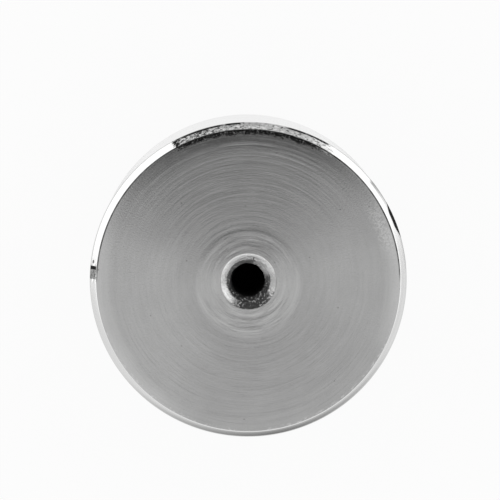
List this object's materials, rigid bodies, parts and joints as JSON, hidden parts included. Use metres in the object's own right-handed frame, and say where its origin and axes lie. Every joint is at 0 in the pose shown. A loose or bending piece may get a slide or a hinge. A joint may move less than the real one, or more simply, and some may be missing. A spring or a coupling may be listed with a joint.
{
  "type": "holding electromagnet",
  "caption": "Round steel pot electromagnet with a potted coil round its centre pole, a tapped blind hole in the back and a bushed lead exit in the side.",
  "frame": {"origin": "centre of the pole face, the flat face that holds the workpiece and that the part stands on", "axes": "+Z along the magnet's axis towards the back with the tapped hole; -Y towards the lead exit in the side"},
  "size_m": [0.04, 0.04, 0.02],
  "materials": {
    "nickel_plated_steel": "turned and nickel plated, satin",
    "natural_nylon": "moulded",
    "enamelled_copper": "enamelled wire, wound",
    "polyester_tape": "film tape",
    "shrunk_sleeve": "shrunk tube",
    "bushing_rubber": "moulded rubber",
    "black_epoxy": "cast resin"
  },
  "bodies": {
    "root": {"magnet_pot": "nickel_plated_steel", "coil_bobbin": "natural_nylon", "coil_winding": "enamelled_copper", "winding_tape": "polyester_tape", "start_splice_sleeve": "shrunk_sleeve", "finish_splice_sleeve": "shrunk_sleeve", "lead_bushing": "bushing_rubber", "potting_resin": "black_epoxy"}
  },
  "joints": []
}
